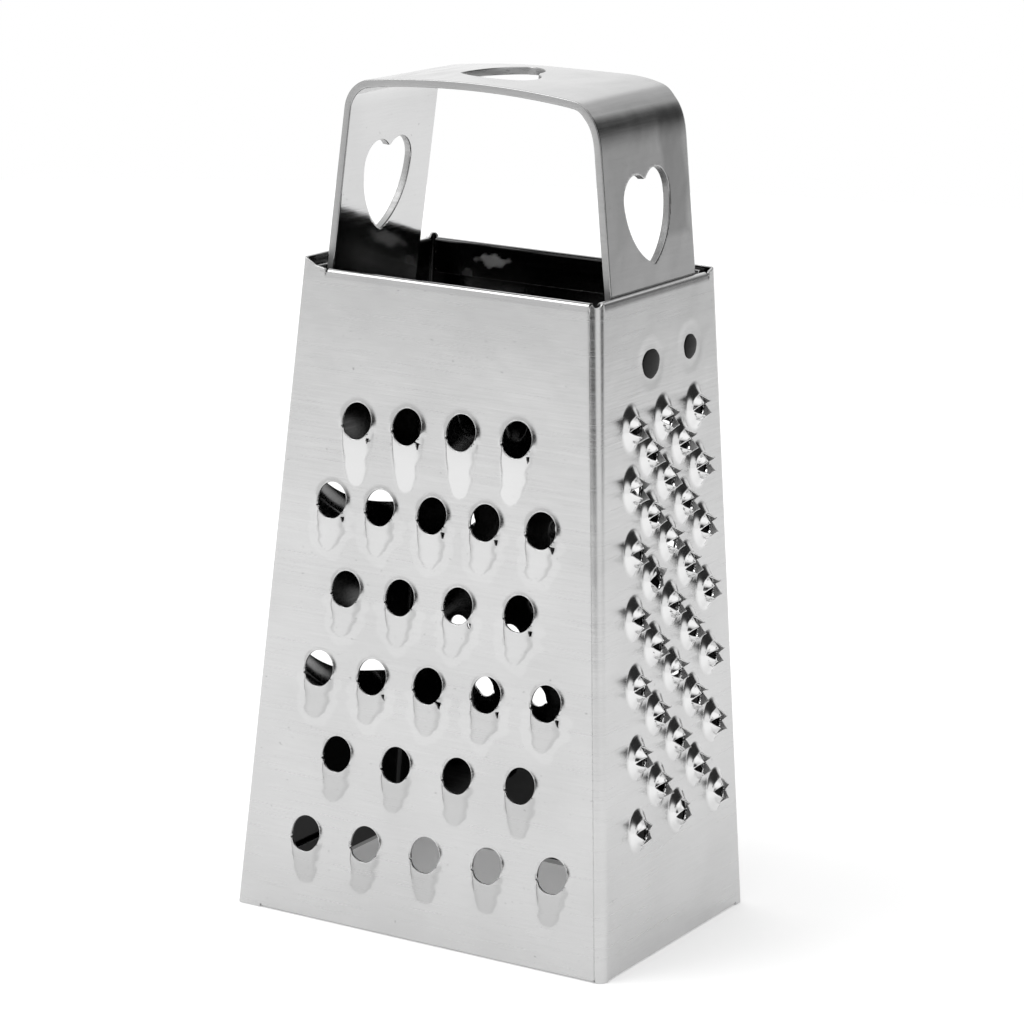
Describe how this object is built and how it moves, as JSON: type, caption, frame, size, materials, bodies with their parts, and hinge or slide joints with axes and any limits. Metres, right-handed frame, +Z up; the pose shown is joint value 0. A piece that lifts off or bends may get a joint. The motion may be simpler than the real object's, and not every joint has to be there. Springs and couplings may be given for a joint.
{
  "type": "box grater",
  "caption": "Small tapered four-sided sheet-steel grater with scoop holes, star burrs and slicing slots, rolled hems, and a strap handle with heart cut-outs.",
  "frame": {"origin": "on the resting plane, at the centre of the body's base rectangle", "axes": "+Z up; +X along the body's width, towards the star-burr wall; -Y out of the coarse-scoop front wall"},
  "size_m": [0.0449, 0.0318, 0.0889],
  "materials": {
    "body_steel": "fine horizontal brushed grain, satin, on thin tinned or stainless sheet",
    "strap_steel": "smooth satin strip with light scratches and bright rounded edges",
    "weld_steel": "dull, slightly darkened weld marks"
  },
  "bodies": {
    "root": {"front_right_half": "body_steel", "back_left_half": "body_steel", "strap_handle": "strap_steel", "handle_spot_welds": "weld_steel", "seam_spot_welds": "weld_steel"}
  },
  "joints": []
}
